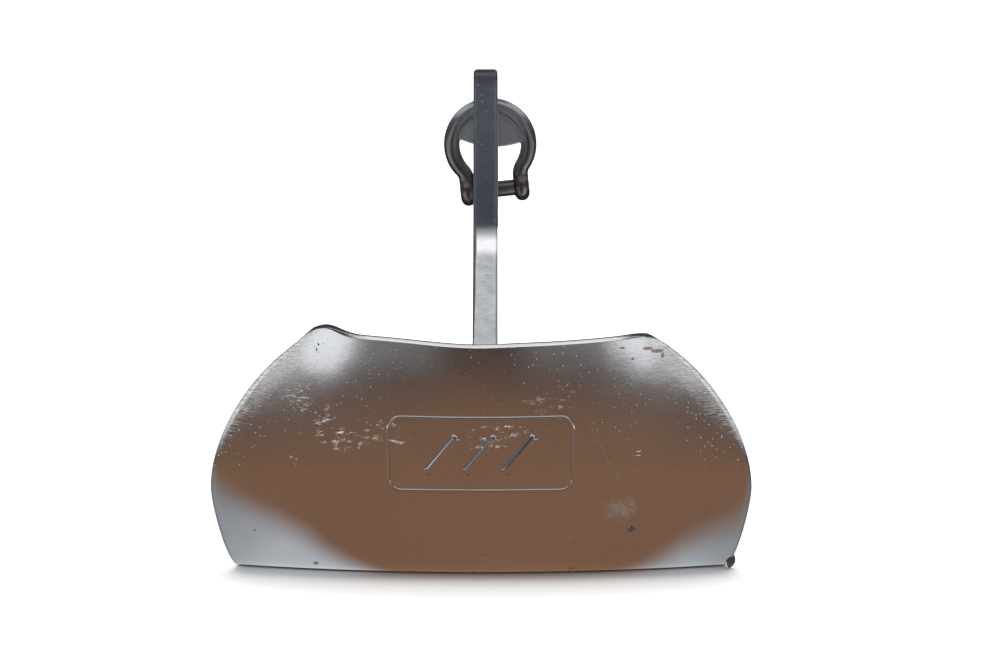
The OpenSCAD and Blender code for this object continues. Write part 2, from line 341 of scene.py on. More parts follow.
def heel_marks_and_painted_edge(n, col, r, spots):
    """The heel's marks over plain zinc, with a painted highlight and painted shade on its cut edge:
    its colour, roughness, height, and the mask of the face towards the shank."""
    xyz = n.xyz()
    along, inset, layer = n.attribute("rim")
    # irregular bright rubs left of the mark and on it, and two short nicks
    zones = n.most(n.blots(RUBS), n.mul(n.blots(FAINT_RUBS), 0.4))
    rub = n.noise(1.0, 5, 0.75, n.mapping((200, 200, 520)))
    rub = n.mul(n.ramp(rub, [(0.565, 0.0), (0.64, 1.0)]), zones)
    rub = n.most(rub, *[n.mul(n.line(p, q, 0.14), 0.9) for p, q in NICKS])
    # grinding strokes across both upper side rims
    stroke = n.noise(1.0, 2, 0.5, n.vector(n.mul(along, 300.0), n.mul(inset, 9.0), 0.0))
    belt = n.ramp(inset, [(0.0, 0.45), (0.05, 0.35), (0.13, 0.12), (0.24, 0.0)])
    high = n.ramp(xyz[2], [(0.066, 0.15), (0.085, 1.0)])
    grind = n.mul(n.ramp(stroke, [(0.52, 0.0), (0.66, 1.0)]), belt, high)
    col = n.mix(n.mul(grind, 0.5), col, STROKED)
    col = n.mix(n.mul(rub, 0.8), col, RUBBED)
    r = n.add(r, n.mul(n.most(rub, grind), 0.30))
    height = n.add(spots, n.mul(rub, 0.5), n.mul(grind, 0.35))
    # dull smudge, pits, hairline, rust nick
    smudge = n.mul(n.blot(*SMUDGE), n.ramp(n.noise(330, 4, 0.7), [(0.40, 0.15), (0.60, 0.9)]))
    col = n.mix(smudge, col, SMUDGED)
    r = n.add(r, n.mul(smudge, 0.30))
    pits = n.most(n.blots(PITS), n.mul(n.blots(FAINT_PITS), 0.5))
    dark = n.most(n.mul(pits, 0.85), n.mul(n.line(*HAIRLINE), 0.6))
    col = n.mix(dark, col, PITTED)
    rust = n.blots(RUST)
    col = n.mix(n.mul(rust, 0.9), col, RUSTED)
    # painted highlight: the cut edge is painted bright along the middle of the top; painted shade darkens
    # the rest of it
    inner = n.ramp(layer, [(0.985, 0.0), (0.999, 1.0)])
    rim = n.sub(n.ramp(layer, [(0.0, 0.0), (0.08, 1.0)]), inner)
    mid = n.mul(n.ramp(n.add(xyz[0], HALF_M), [(0.434, 0.0), (0.444, 1.0), (0.566, 1.0), (0.575, 0.0)]),
                n.ramp(xyz[2], [(0.09, 0.0), (0.10, 1.0)]), n.ramp(layer, [(0.70, 1.0), (0.84, 0.0)]))
    edge = n.mul(rim, mid)
    shade = n.most(n.sub(rim, edge), n.ramp(inset, [(0.0, 0.9), (0.026, 0.0)]))
    # painted shade: the cut edge outside its highlight and a thin band along both side rims are darkened
    col = n.mix(n.mul(shade, 0.75), col, RIM_PAINTED_SHADE)
    # marks are less metallic than the zinc, so they show against any reflection
    white = n.most(n.mul(spots, 0.75), n.mul(rub, 0.45), n.mul(edge, 0.62), n.mul(grind, 0.14),
                   n.mul(smudge, 0.22))
    metal = n.rest(n.most(white, n.mul(n.most(rust, n.mul(dark, 0.5)), 0.9)))
    n.link(n.most(metal, inner), n.bsdf.inputs["Metallic"])
    height = n.sub(height, n.mul(n.most(pits, rust), 0.8))
    # painted highlight on the middle of the top cut edge
    col = n.mix(n.mul(edge, 0.75), col, CUT_EDGE_PAINTED_HIGHLIGHT)
    r = n.add(r, n.mul(edge, 0.16))
    return col, r, height, inner


def zinc_material(name, tone, rough, speck=1.0, wave=1.0, heel=False):
    """Hot-dip zinc: smooth, a little wavy, with small raised specks."""
    n = Nodes(name)
    cloud = n.noise(11, 3, 0.5)
    grain = n.noise(520, 3, 0.6)
    plain = n.ramp(cloud, [(0.25, (tone * 0.93, tone * 0.935, tone * 0.95)), (0.75, (tone * 1.05,) * 3)])
    plain = n.mix(n.ramp(grain, [(0.40, 0.0), (0.80, 0.30)]), plain,
                  (tone * 0.80, tone * 0.80, tone * 0.82))
    # most of the specks lie in drifts
    dots = n.specks(470, [(0.07, 1.0), (0.17, 0.0)], [(0.30, 0.0), (0.90, 1.0)])
    drift = n.ramp(n.noise(24, 2, 0.6), [(0.46, 0.03), (0.70, 0.9)])
    if heel:
        drift = heel_drift(n, drift)
    spots = n.mul(dots, drift, 0.85 * speck)
    r = n.ramp(n.noise(22, 3, 0.5), [(0.3, rough * 0.90), (0.75, rough * 1.15)])
    col, height = plain, spots
    if heel:
        col, r, height, inner = heel_marks_and_painted_edge(n, col, r, spots)
    col = n.mix(spots, col, SPECK)
    r = n.add(r, n.mul(spots, 0.30))
    if heel:
        # the face towards the shank carries none of these marks and is duller
        col = n.mix(inner, col, plain)
        r = n.mix(inner, r, n.ramp(cloud, [(0.3, 0.27), (0.7, 0.35)]))
        height = n.mul(height, n.rest(inner))
    waves = n.bump(n.noise(34, 2, 0.45), 0.10 * wave, 0.0010)
    fine = n.bump(grain, 0.10, 0.00010, waves)
    return n.finish(col, r, n.bump(height, 0.55, 0.00020, fine))


# ------------------------------------------------------ the fluke's outer face
BEND_H = 20.0                          # the belly bend starts at this height
LEAN_TOP, LEAN_LOW, LEAN_FROM = 0.07, 0.0062, 60
BEND_PHI = math.degrees(math.atan(LEAN_TOP + 2 * LEAN_LOW * (LEAN_FROM - BEND_H)))
BEND_COS = math.cos(math.radians(BEND_PHI))
BEND_R = BEND_H / (1 - math.sin(math.radians(BEND_PHI)))
TOE_HALF = 6.0                         # half the sole's width at its tip
EAR_X_L, EAR_X_R, EDGE_X = 75.5, 77, 85  # the ears, and the top edge's ends, from the middle


def heel_y(h):
    return LEAN_TOP * (HEEL_H - h) + LEAN_LOW * max(0.0, LEAN_FROM - h) ** 2


BEND_Y = heel_y(BEND_H)
BELLY_Y = BEND_Y + BEND_R * BEND_COS


def smooth(t):
    s = min(1.0, max(0.0, t))
    return s * s * (3 - 2 * s)


def corner(s):
    return 0.0 if s > CORNER else CORNER - math.sqrt(max(0.0, s * (2 * CORNER - s)))


def side(h):
    """Half the heel's width at height h."""
    if h > WIDE_H:
        return HALF_W - corner(HEEL_H - h) - SHOULDER * ((h - WIDE_H) / (HEEL_H - WIDE_H)) ** 1.9
    return HALF_W - TUCK * ((WIDE_H - h) / WIDE_H) ** 1.4


def sole_half(t):
    return TOE_HALF + (side(0) - TOE_HALF) * (1 - t ** 1.55)


def sole_z(t):
    return TOE_RISE * smooth((t - 0.12) / 0.55)


def sole_t(y):
    return (y - BELLY_Y) / (TOE_Y - BELLY_Y)


def ear(x):
    """How far the top edge rises beyond its general curve at x."""
    if x < 0:
        return (RISE_L * smooth(-x / 50) + EAR_L * math.exp(-((x + EAR_X_L) / 8) ** 2)
                - 3.3 * smooth((-x - 80) / 11))
    return (RISE_R * smooth(x / 22) + EAR_R * math.exp(-((x - EAR_X_R) / 6) ** 2)
            - 2.2 * smooth((x - 79) / 11))


def face_pt(u, v):
    """The outer face: u from -1 to 1 across; v 0-1 heel, 1-2 bend, 2-3 sole."""
    if v <= 1:
        h = HEEL_H - (HEEL_H - BEND_H) * v
        x = u * side(h)
        k = max(0.0, (h - BEND_H) / (HEEL_H - BEND_H)) ** 2
        top = math.exp(-((HEEL_H - h) / 12) ** 2)
        return Vector((x, heel_y(h) + x * x / (2 * PLAN_R),
                       h + k * EDGE_RISE * (x / EDGE_X) ** 2 + top * ear(x)))
    if v <= 2:
        phi = math.radians(BEND_PHI + (90 - BEND_PHI) * (v - 1))
        h = BEND_R * (1 - math.sin(phi))
        x = u * side(h)
        return Vector((x, BEND_Y + BEND_R * (BEND_COS - math.cos(phi)) + x * x / (2 * PLAN_R), h))
    t = min(1.0, v - 2)
    x = u * sole_half(t)
    s = x * x / (2 * PLAN_R)
    return Vector((x, BELLY_Y + s * (1 - t) + (TOE_Y - BELLY_Y) * t,
                   sole_z(t) + TROUGH * u * u * math.sin(math.pi * t)))


def inward(u, v):
    e = 0.01
    du = face_pt(u + e, v) - face_pt(u - e, v)
    dv = face_pt(u, min(3.0, v + e)) - face_pt(u, max(0.0, v - e))
    return du.cross(dv).normalized()


def skin(u, v, d):
    """The point d mm under the outer face."""
    return face_pt(u, v) + inward(u, v) * d


# ---------------------------------------------------------------- fluke plate
TOP_WEAR, WEAR_TO = 0.010, 0.045       # in v: the top edge's outer corner is worn down
INSET_FULL = 60.0                      # mm from the rim where its inset reads 1
ROWS = ([0.0, 0.003, 0.008, 0.015] + [i / 46 for i in range(1, 46)]
        + [1 + i / 20 for i in range(20)] + [2 + i / 60 for i in range(60)] + [3.0])
COLS = [-1 + 2 * i / 72 for i in range(73)]


def make_fluke():
    outer = [[skin(u, v + TOP_WEAR * max(0.0, 1 - v / WEAR_TO), 0) for u in COLS] for v in ROWS]
    inner = [[skin(u, v, PLATE) for u in COLS] for v in ROWS]
    nu, nr = len(COLS), len(ROWS)
    verts = [world(p) for r in outer + inner for p in r]
    m = nu * nr
    faces = []
    for i in range(nr - 1):
        for a in range(i * nu, i * nu + nu - 1):
            faces.append((a, a + 1, a + nu + 1, a + nu))
            faces.append((m + a, m + a + nu, m + a + nu + 1, m + a + 1))
    for j in range(nu - 1):
        faces.append((j, m + j, m + j + 1, j + 1))
        a = (nr - 1) * nu + j
        faces.append((a, a + 1, m + a + 1, m + a))
    for i in range(nr - 1):
        a, b = i * nu, (i + 1) * nu
        faces.append((a, b, m + b, m + a))
        a, b = a + nu - 1, b + nu - 1
        faces.append((a, m + a, m + b, b))
    ob = new_object("fluke_plate_skin", verts, faces)
    run = [0.0]
    for i in range(1, nr):
        run.append(run[-1] + (outer[i][0] - outer[i - 1][0]).length)
    vals = []
    for layer in (0.0, 1.0):
        for length, row in zip(run, outer):
            for u, p in zip(COLS, row):
                inset = min(1.0, (1 - abs(u)) * abs(row[0].x) / INSET_FULL)
                vals += [length / 100.0 + (3.0 if u > 0 else 0.0), inset, layer]
    rim_attribute(ob, vals)
    add_bevel(ob, 1.1, 3, 50)
    return ob


fluke = make_fluke()
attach(fluke, "anchor")
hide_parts("fluke_plate")

DRIP_AT = (126.7, 56.5, 4.15)          # mm; the drip leans back along y as it goes up


def make_drip():
    """A small run of zinc that froze at the lower right corner of the heel, painted nearly black as shade.
    """
    bm = bmesh.new()
    bmesh.ops.create_icosphere(bm, subdivisions=4, radius=1.0)
    for v in bm.verts:
        x, y, z = v.co
        k = 1.0 - 0.35 * max(0.0, z)
        v.co = Vector((x * 2.1 * k + 0.6 * z, y * 3.2 * k, z * 4.6 if z > 0 else z * 4.0))
        v.co = world((DRIP_AT[0] + v.co.x, DRIP_AT[1] - 0.9 * v.co.z + v.co.y, DRIP_AT[2] + v.co.z))
    return from_bmesh("zinc_drip_painted_shade", bm)


drip = make_drip()
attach(drip, "anchor")
zinc_heel = zinc_material("zinc_heel", 0.60, 0.11, heel=True)
fluke.data.materials.append(zinc_heel)
# painted shade: the drip's zinc is nearly black, standing for the shade under the corner
drip.data.materials.append(zinc_material("zinc_drip_painted_shade", 0.11, 0.42, 0.0))


# ------------------------------------------------ plain raised frame and bars
MARK_Z, FRAME_W, FRAME_H, FRAME_R = 66.0, 92.0, 38.0, 6.1
FRAME_IN = 7.0                         # the corners' centres lie this far inside
BAR_X, BAR_HALF = 19, (7.5, 9.0)


def ridge(name, path, width, height, closed=False):
    """A low half-round ridge along points (x, h) on the heel face."""
    rise = [(-0.5, -0.35), (-0.46, 0.35), (-0.25, 0.85)]
    prof = rise + [(0.0, 1.0)] + [(-q, k) for q, k in reversed(rise)]
    pts = [Vector(p) for p in path]
    n, m = len(pts), len(prof)
    verts, faces = [], []
    for i, p in enumerate(pts):
        a = pts[(i - 1) % n] if closed or i > 0 else p
        b = pts[(i + 1) % n] if closed or i < n - 1 else p
        t = (b - a).normalized()
        for q, k in prof:
            w = p + Vector((t.y, -t.x)) * q * width
            v = (HEEL_H - w.y) / (HEEL_H - BEND_H)
            verts.append(world(skin(w.x / side(w.y), v, -height * k)))
    for i in range(n if closed else n - 1):
        for j in range(m - 1):
            a, b = i * m + j, ((i + 1) % n) * m + j
            faces.append((a, a + 1, b + 1, b))
    if not closed:
        faces.append(tuple(range(m))[::-1])
        faces.append(tuple((n - 1) * m + j for j in range(m)))
    return new_object(name, verts, faces)


def relief():
    path = []
    for cx, cy, a0 in ((1, 1, 0), (-1, 1, 90), (-1, -1, 180), (1, -1, 270)):
        for k in range(9):
            a = math.radians(a0 + k * 90 / 8)
            path.append((cx * (FRAME_W / 2 - FRAME_IN) + FRAME_R * math.cos(a),
                         MARK_Z + cy * (FRAME_H / 2 - FRAME_IN) + FRAME_R * math.sin(a)))
    dense = []
    for p, q in zip(path, path[1:] + path[:1]):
        k = max(1, int(math.dist(p, q) / 2.0))
        dense += [(p[0] + (q[0] - p[0]) * s / k, p[1] + (q[1] - p[1]) * s / k) for s in range(k)]
    obs = [ridge("heel_relief_frame", dense, 1.8, 0.8, closed=True)]
    for i, s in enumerate((-1, 0, 1)):
        path = [(s * BAR_X + BAR_HALF[0] * (k / 7 - 1), MARK_Z + BAR_HALF[1] * (k / 7 - 1))
                for k in range(15)]
        obs.append(ridge("heel_relief_bar_%d" % (i + 1), path, 4.6, 0.75))
    return obs


relief_obs = relief()
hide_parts("heel_relief")
for o in relief_obs:
    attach(o, "anchor")
    rim_attribute(o, [0.0, 1.0, 0.0] * len(o.data.vertices))
    o.data.materials.append(zinc_heel)


# ---------------------------------------------------------------------- shank
FALL_DEG = 15.5                        # the arm falls towards the shackle
FALL = math.radians(FALL_DEG)
ARM_TOP = (PIN_Y + TIP_R * math.sin(FALL), PIN_Z + TIP_R * math.cos(FALL))
ARM_LOW = (PIN_Y - TIP_R * math.sin(FALL), PIN_Z - TIP_R * math.cos(FALL))
ROOT, BEND_AT, TOP_AT = (22.5, 46.0), (103.6, 169.3), (119, 225)
FOOT_F, FOOT_R, SINK = 212.0, 58, 0.7  # the foot's front and rear, sunk in the sole
GROUND_Z = [(0.1672, 0.0), (0.1684, 1.0)]   # where the ground back edge ends, m


def bez(a, b, c, d, n):
    out = []
    for i in range(n):
        t = i / n
        s = 1 - t
        out.append(tuple(s ** 3 * a[k] + 3 * s * s * t * b[k] + 3 * s * t * t * c[k] + t ** 3 * d[k]
                         for k in range(2)))
    return out


def up_arm(p, k):
    return (p[0] - k * math.cos(FALL), p[1] + k * math.sin(FALL))


def base_z(y):
    return sole_z(max(0.0, sole_t(y))) + PLATE - SINK


def shank_outline():
    pts = [ROOT]
    pts += bez(ROOT, (52, 86), (84.5, 138), BEND_AT, 16)[1:]
    pts += bez(BEND_AT, (107.5, 181), (113, 206), TOP_AT, 14) + [TOP_AT]
    pts += bez((125.6, CREST - 4.6), (126.8, CREST - 0.4), (128.4, CREST), (133, CREST), 8)
    pts += bez((133, CREST), (158, CREST), (205, CREST + 0.9), (232, CREST - 8), 18)
    pts += bez((232, CREST - 8), (262, CREST - 18), up_arm(ARM_TOP, 50), ARM_TOP, 20)
    for k in range(48):
        q = math.radians(90 - FALL_DEG - k * 3.75)
        pts.append((PIN_Y + TIP_R * math.cos(q), PIN_Z + TIP_R * math.sin(q)))
    pts += bez(ARM_LOW, up_arm(ARM_LOW, 60), (252, 204), (216, 172), 20)
    pts += bez((216, 172), (182, 138), (178, 78), (FOOT_F, 28), 20)
    pts += [(FOOT_F, 28.0)]
    for k in range(20):
        y = FOOT_F - (FOOT_F - FOOT_R) * k / 19
        pts.append((y, base_z(y)))
    for k in range(1, 9):
        phi = math.radians(90 - k * (90 - BEND_PHI) / 8)
        rr = BEND_R - PLATE + SINK
        pts.append((BEND_Y + BEND_R * BEND_COS - rr * math.cos(phi), BEND_R - rr * math.sin(phi)))
    return pts


def shrink(loop, d):
    """The closed outline moved inwards by d, with short mitres."""
    ahead = loop[1:] + loop[:1]
    area = sum(p[0] * q[1] - q[0] * p[1] for p, q in zip(loop, ahead))
    sg = 1.0 if area > 0 else -1.0
    out = []
    for i, (p, q) in enumerate(zip(loop, ahead)):
        a, b, c = Vector(loop[i - 1]), Vector(p), Vector(q)
        e0, e1 = (b - a).normalized(), (c - b).normalized()
        n0, n1 = Vector((-e0.y, e0.x)) * sg, Vector((-e1.y, e1.x)) * sg
        m = n0 + n1
        out.append(tuple(b + m * (d / max(0.45, m.length_squared / 2))))
    return out


def make_shank():
    pts = []
    for q in shank_outline():
        if not pts or math.dist(q, pts[-1]) > 0.3:
            pts.append(q)
    hole = [(PIN_Y + HOLE / 2 * math.cos(2 * math.pi * k / 48),
             PIN_Z + HOLE / 2 * math.sin(2 * math.pi * k / 48)) for k in range(48)]
    half, r, steps = SHANK_T / 2, 1.7, 5
    prof = [(r * (1 - math.cos(q)), half - r + r * math.sin(q))
            for q in (math.pi / 2 * k / steps for k in range(steps + 1))]
    bm = bmesh.new()
    rings = [[bm.verts.new(world((SHIFT - x, *q))) for q in shrink(pts, d)] for d, x in reversed(prof)]
    rings += [[bm.verts.new(world((SHIFT + x, *q))) for q in shrink(pts, d)] for d, x in prof]
    bore = [[bm.verts.new(world((SHIFT + sx * half, *q))) for q in hole] for sx in (-1, 1)]
    for ring_a, ring_b in list(zip(rings, rings[1:])) + [(bore[0], bore[1])]:
        n = len(ring_a)
        for i in range(n):
            bm.faces.new((ring_a[i], ring_a[(i + 1) % n], ring_b[(i + 1) % n], ring_b[i]))
    for loops in ((rings[0], bore[0]), (rings[-1], bore[1])):
        es = [bm.edges.get(pair) for loop in loops for pair in zip(loop, loop[1:] + loop[:1])]
        bmesh.ops.triangle_fill(bm, use_beauty=True, use_dissolve=False, edges=es)
    bmesh.ops.recalc_face_normals(bm, faces=list(bm.faces))
    ob = from_bmesh("shank_plate", bm)
    sharp_from(ob, 32)
    return ob


shank = make_shank()
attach(shank, "anchor")
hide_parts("shank")


# colours of the shank: plain zinc, its upper back edge darkened as painted shade, and ground zinc, each
# from dark to light
PLAIN, UPPER_EDGE_SHADE = ((0.50, 0.51, 0.53), (0.58, 0.585, 0.60)), ((0.25, 0.27, 0.315), (0.33, 0.35, 0.39))
GROUND = (0.58, 0.605, 0.65), (0.86, 0.885, 0.93), (1.0, 1.0, 1.0)
# painted shade of the crest and of the left rim by the ground part, and a painted highlight at the bend
CREST_PAINTED_SHADE, LEFT_RIM_PAINTED_SHADE, BEND_PAINTED_HIGHLIGHT = (0.115, 0.12, 0.135), (0.22, 0.225, 0.24), (0.99, 0.99, 1.0)
SHANK_SPECK = (0.75, 0.77, 0.80)


def shank_material():
    """Dull zinc; the lower back edge is ground bright with cross strokes, with painted shade above it and
    a painted highlight at the bend.
    """
    n = Nodes("zinc_shank")
    cloud = n.noise(30, 4, 0.6)
    base = n.ramp(cloud, [(0.3, PLAIN[0]), (0.7, PLAIN[1])])
    upper_edge_shade = n.ramp(cloud, [(0.3, UPPER_EDGE_SHADE[0]), (0.7, UPPER_EDGE_SHADE[1])])
    geo = n.t.nodes.new("ShaderNodeNewGeometry")
    flank = n.math("ABSOLUTE", n.xyz(geo.outputs["Normal"])[0])
    edge = n.ramp(flank, [(0.86, 1.0), (0.985, 0.0)])
    xyz = n.xyz()
    # painted shade: the back edge above the ground part is darkened
    up = n.mul(edge, n.ramp(xyz[2], GROUND_Z))
    col = n.mix(up, base, upper_edge_shade)
    # painted shade: the top of the crest is darkened
    crest_shade = n.ramp(xyz[2], [(0.2440, 0.0), (0.2475, 1.0)])
    col = n.mix(n.mul(crest_shade, 0.85), col, CREST_PAINTED_SHADE)
    # the ground part stops short of the left side, whose rim is painted dark as shade
    wander = n.mul(n.sub(n.noise(45, 2), 0.5), 0.0014)
    left = n.add(n.sub(xyz[0], (SHIFT - SHANK_T / 2 + 0.35) * MM), wander)
    keep = n.math("GREATER_THAN", left, n.mul(n.ramp(xyz[2], [(0.105, 0.0), (0.158, 1.0)]), 0.0013))
    ragged_z = n.add(xyz[2], wander)
    rear = n.math("LESS_THAN", xyz[1], world_y(150))
    low = n.mul(rear, n.rest(n.ramp(ragged_z, GROUND_Z)), edge)
    ground = n.mul(low, keep)
    brush = n.noise(1.0, 5, 0.8, n.mapping((220, 1500, 1500), (0, 0.16, 0)))
    broad = n.noise(1.0, 3, 0.6, n.mapping((120, 200, 200)))
    bright = n.ramp(n.add(n.mul(brush, 0.65), n.mul(broad, 0.35)),
                    [(0.36, GROUND[0]), (0.50, GROUND[1]), (0.60, GROUND[2])])
    # painted highlight along the top of the ground part, just below the bend
    bend_highlight = n.ramp(ragged_z, [(0.1560, 0.0), (0.1605, 1.0), (0.1660, 0.80)])
    bright = n.mix(n.mul(bend_highlight, 0.70), bright, BEND_PAINTED_HIGHLIGHT)
    # painted shade on the left rim beside the ground part
    col = n.mix(n.mul(low, n.rest(keep)), col, LEFT_RIM_PAINTED_SHADE)
    col = n.mix(ground, col, bright)
    # bright specks on the darkened upper back edge
    dots = n.mul(n.specks(460, [(0.10, 1.0), (0.24, 0.0)], [(0.45, 0.0), (1.0, 0.50)]), up)
    col = n.mix(dots, col, SHANK_SPECK)
    dull_r = n.ramp(n.noise(40, 5, 0.6), [(0.3, 0.30), (0.75, 0.40)])
    ground_r = n.ramp(brush, [(0.3, 0.28), (0.7, 0.46)])
    metal = n.rest(n.most(n.mul(dots, 0.6), n.mul(bend_highlight, ground, 0.60)))
    n.link(metal, n.bsdf.inputs["Metallic"])
    waves = n.bump(n.noise(60, 2, 0.5), 0.10, 0.0009)
    fine = n.bump(n.noise(330, 3, 0.7), 0.50, 0.00030, waves)
    return n.finish(col, n.mix(ground, dull_r, ground_r), n.bump(n.mul(brush, ground), 0.6, 0.00022, fine))


shank.data.materials.append(shank_material())


# ---------------------------------------------------------------- weld beads
weld_mat = zinc_material("zinc_weld", 0.55, 0.34, 0.4, 2.0)
RIPPLE = 2.6                           # mm from one ripple of a bead to the next
WELD_Y, WELD_STEPS = (48, FOOT_F - 4), 300


def weld_run(name, points, a, b, leg):
    """A rippled fillet with its root along points and its two legs along a and b."""
    verts = []
    sec = 10
    length = 0.0
    for i, p in enumerate(points):
        if i:
            length += (p - points[i - 1]).length
        ph = (length % RIPPLE) / RIPPLE
        ripple = (0.86 + 0.14 * math.sqrt(max(0.0, 1 - (2 * ph - 1) ** 2))
                  + 0.05 * math.sin(length * 0.35))
        for k in range(sec + 1):
            q = k / sec * math.pi / 2
            r = leg * ripple * (1 + 0.16 * math.sin(2 * q)) / (math.cos(q) + math.sin(q))
            verts.append(world(p + a * (r * math.cos(q)) + b * (r * math.sin(q))))
        verts.append(world(p - a * 0.5 - b * 0.5))
    ob = new_object(name, verts, ring_faces(len(points), sec + 2))
    face_outwards(ob)
    sharp_from(ob, 50)
    return ob


for s, nm in ((-1, "left"), (1, "right")):
    seam = []
    for i in range(WELD_STEPS + 1):
        y = WELD_Y[0] + (WELD_Y[1] - WELD_Y[0]) * i / WELD_STEPS
        seam.append(Vector((SHIFT + s * (SHANK_T / 2 - 0.3), y, base_z(y) + 0.4)))
    ob = weld_run("weld_bead_%s" % nm, seam, Vector((s, 0, 0)), Vector((0, 0, 1)), 6.0)
    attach(ob, "anchor")
    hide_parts("shank_weld_%s" % nm)
    ob.data.materials.append(weld_mat)


# ------------------------------------------------------------------ toe point
TIP_Y = TOE_Y + 14
WEDGE_Y = TIP_Y - 112                  # the wedge's rear
WEDGE_Z = sole_z(sole_t(WEDGE_Y))


def make_toe():
    y0, ym, zt, zn = WEDGE_Y, TOE_Y - 8, TOE_RISE + 0.6, 7.0
    zb, w, wm = WEDGE_Z + 0.6, 37.0, 37.0 * .62
    p = [(-w + 5, y0 + 5, 0), (w - 5, y0 + 5, 0), (w, y0, zb), (-w, y0, zb),
         (-wm + 4, y0 + 55, 0), (wm - 4, y0 + 55, 0), (wm, y0 + 55, zt), (-wm, y0 + 55, zt),
         (-5, ym, 0), (5, ym, 0), (8, ym, zt), (-8, ym, zt),
         (-1.5, TIP_Y, zn - 2), (1.5, TIP_Y, zn - 2), (1.5, TIP_Y, zn), (-1.5, TIP_Y, zn)]
    f = [(0, 3, 2, 1), (0, 1, 5, 4), (1, 2, 6, 5), (2, 3, 7, 6), (3, 0, 4, 7),
         (4, 5, 9, 8), (5, 6, 10, 9), (6, 7, 11, 10), (7, 4, 8, 11),
         (8, 9, 13, 12), (9, 10, 14, 13), (10, 11, 15, 14), (11, 8, 12, 15), (12, 13, 14, 15)]
    ob = new_object("toe_point_wedge", [world(q) for q in p], f)
    face_outwards(ob)
    add_bevel(ob, 0.9, 3, 18)
    apply_all(ob)
    sharp_from(ob, 40)
    return ob


toe = make_toe()
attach(toe, "anchor")
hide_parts("toe_point")
toe.data.materials.append(zinc_material("zinc_toe", 0.58, 0.30))

seam = [Vector((-34 + 68 * i / 130, WEDGE_Y + 1.0, WEDGE_Z + 0.9)) for i in range(131)]
ob = weld_run("weld_bead_toe", seam, Vector((0, -1, 0)), Vector((0, 0, -1)), 5.0)
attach(ob, "anchor")
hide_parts("toe_weld")
ob.data.materials.append(weld_mat)


# ------------------------------------------------------------------- shackle
LOCAL = (Matrix.Rotation(math.radians(-ROLL), 4, "Y") @ Matrix.Rotation(math.radians(LEAN), 4, "X")
         @ Matrix.Translation((SLIDE, 0, 0)))
PIN_AT = world((SHIFT, PIN_Y, PIN_Z))
EYE_X = JAW / 2 + EYE_T / 2
NECK_R = 9.0                           # the bow's outward bend above each eye
WEB_R, WEB_FROM, WEB_WIDE = 48, -18.8, 38.2
WEB_COLS, WEB_ROWS = 28, 12
FILLET, FILLET_W = 1.6, 10.5           # the web thickens towards the bar


def place(p):
    """A point of the shackle's own frame (pin at the origin, bow up), mm."""
    return PIN_AT + (LOCAL @ Vector(p)) * MM


def bow_path():
    """The bar's middle line in the (x, z) plane, from one eye to the other."""
    na = math.acos((EYE_X + NECK_R) / (BOW_R + NECK_R))
    nx, nz = (BOW_R + NECK_R) * math.cos(na), BOW_H - (BOW_R + NECK_R) * math.sin(na)
    leg = [(EYE_X, nz * k / 8) for k in range(8)]
    for k in range(8):
        a = math.pi - na * k / 8
        leg.append((nx + NECK_R * math.cos(a), nz + NECK_R * math.sin(a)))
    bow = []
    for k in range(61):
        a = -na + (math.pi + 2 * na) * k / 60
        bow.append((BOW_R * math.cos(a), BOW_H + BOW_R * math.sin(a)))
    return leg + bow + [(-x, z) for x, z in reversed(leg)]


def bar_mesh(seg=32):
    """The bar, a little thinner just above the eyes."""
    path, verts = bow_path(), []
    for i, (x, z) in enumerate(path):
        a, b = path[max(0, i - 1)], path[min(len(path) - 1, i + 1)]
        t = Vector((b[0] - a[0], 0, b[1] - a[1])).normalized()
        s = t.cross(Vector((0, 1, 0))).normalized()
        r = BAR_D / 2 - 0.25 * max(0.0, 1 - abs(z - 12) / 8)
        for k in range(seg):
            q = 2 * math.pi * k / seg
            verts.append(Vector((x, 0, z)) + s * (r * math.cos(q)) + Vector((0, 1, 0)) * (r * math.sin(q)))
    return verts, ring_faces(len(path), seg)


def eye_mesh(s, seg=48):
    """A rounded drum with ball-like cheeks, on side s."""
    verts = []
    for k in range(21):
        c = math.cos(math.pi * k / 20)
        x = s * EYE_X - (EYE_T / 2 + 0.25) * c
        r = max((EYE_D / 2 + 0.45) * (1 - abs(c) ** 2.4) ** (1 / 2.2), 1e-4)
        for j in range(seg):
            q = 2 * math.pi * j / seg
            verts.append(Vector((x, r * math.cos(q), r * math.sin(q))))
    return verts, ring_faces(21, seg, ends=False)


def web_mesh():
    """A lens-shaped pad that fills the crown, thinner towards its free edge."""
    verts, faces = [], []
    step_up = WEB_ROWS + 1
    for sy in (1, -1):
        for i in range(WEB_COLS + 1):
            x = WEB_FROM + WEB_WIDE * i / WEB_COLS
            lo = WEB_REACH + WEB_R - math.sqrt(WEB_R ** 2 - (x - WEB_SIDE) ** 2)
            hi = BOW_H + math.sqrt(max(0.0, BOW_R ** 2 - x * x))
            for j in range(step_up):
                t = j / WEB_ROWS
                z = lo + (hi - lo) * t
                near = max(0.0, 1 - (BOW_R - math.hypot(x, z - BOW_H)) / FILLET_W)
                th = WEB_T / 2 * (0.85 if j == 0 else 1.0) + FILLET * min(1.0, near) ** 2.2
                verts.append(Vector((x, sy * th, z - 0.3 * (1 - t))))
    m = (WEB_COLS + 1) * step_up
    for i in range(WEB_COLS):
        low, top = i * step_up, i * step_up + WEB_ROWS
        for a in range(low, top):
            b = a + step_up
            faces.append((a, b, b + 1, a + 1))
            faces.append((m + a, m + a + 1, m + b + 1, m + b))
        faces.append((top, top + step_up, m + top + step_up, m + top))
        faces.append((low, m + low, m + low + step_up, low + step_up))
    for i in (0, WEB_COLS):
        for a in range(i * step_up, i * step_up + WEB_ROWS):
            faces.append((a, a + 1, m + a + 1, m + a))
    return verts, faces


VOXEL = 0.00045                        # m; finer than the eye sees, coarse enough to be quick


